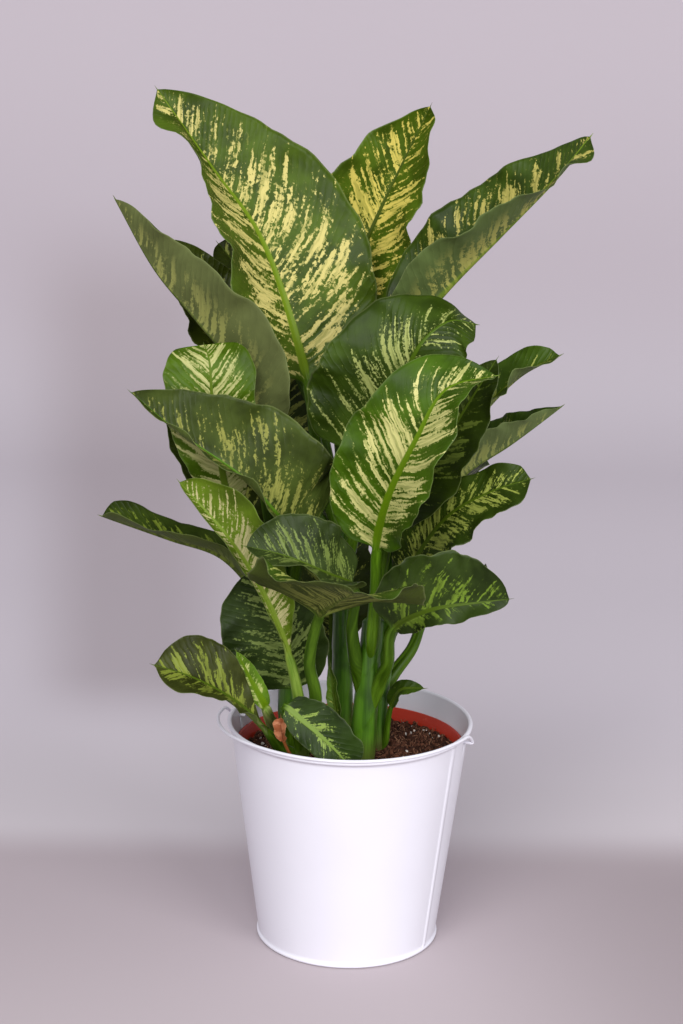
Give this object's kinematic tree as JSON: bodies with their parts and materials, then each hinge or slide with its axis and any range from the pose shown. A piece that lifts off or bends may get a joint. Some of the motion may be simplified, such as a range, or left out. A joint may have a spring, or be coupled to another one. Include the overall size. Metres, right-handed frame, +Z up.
{
  "type": "potted dieffenbachia",
  "caption": "Leafy house plant with broad variegated leaves, in a nursery pot standing in a tall white sheet-metal bucket with a wire bail.",
  "frame": {"origin": "centre of the bucket's foot, on the floor", "axes": "+Z up, -Y towards the front of the plant, +X to its right as seen from the front"},
  "size_m": [0.4663, 0.4777, 0.8523],
  "materials": {
    "white_paint": "satin white with a cool tint",
    "white_wire": "satin white",
    "terracotta_plastic": "satin",
    "potting_soil": "crumbly",
    "cane_green": "waxy",
    "leaf_green": "waxy, blotched pale yellow",
    "dried_sheath": "papery"
  },
  "bodies": {
    "potted_plant": {"outer_pot": "white_paint", "nursery_pot": "terracotta_plastic", "soil": "potting_soil", "cane_main": "cane_green", "cane_right": "cane_green", "cane_back": "cane_green", "cane_left": "cane_green", "cane_shoot": "cane_green", "leaf_top_left": "leaf_green", "leaf_top_middle": "leaf_green", "leaf_top_right": "leaf_green", "leaf_centre_upper": "leaf_green", "leaf_centre_front": "leaf_green", "leaf_behind_front": "leaf_green", "leaf_right_wavy": "leaf_green", "leaf_right_back": "leaf_green", "leaf_right_middle": "leaf_green", "leaf_right_low": "leaf_green", "leaf_front_flat": "leaf_green", "leaf_front_left": "leaf_green", "leaf_young_rolled": "leaf_green", "leaf_left_pale": "leaf_green", "leaf_left_crossing": "leaf_green", "leaf_upper_left": "leaf_green", "leaf_back_left_high": "leaf_green", "leaf_back_left_low": "leaf_green", "leaf_left_dark": "leaf_green", "leaf_left_trough": "leaf_green", "leaf_low_round": "leaf_green", "leaf_low_left": "leaf_green", "leaf_rim": "leaf_green", "leaf_low_small": "leaf_green", "leaf_stem_small": "leaf_green", "leaf_curled_small": "leaf_green", "sheath_dry": "dried_sheath", "leaf_rear_high": "leaf_green", "leaf_rear_right": "leaf_green", "leaf_rear_left": "leaf_green", "leaf_rear_low": "leaf_green", "leaf_rear_low_right": "leaf_green"},
    "bail": {"bail_handle": "white_wire"}
  },
  "joints": [
    {"name": "bail_swing", "type": "hinge", "parent": "potted_plant", "child": "bail", "pos_m": [0, 0, 0.221], "axis": [-0.9563, 0.2924, 0], "range_deg": [0, 10]}
  ]
}
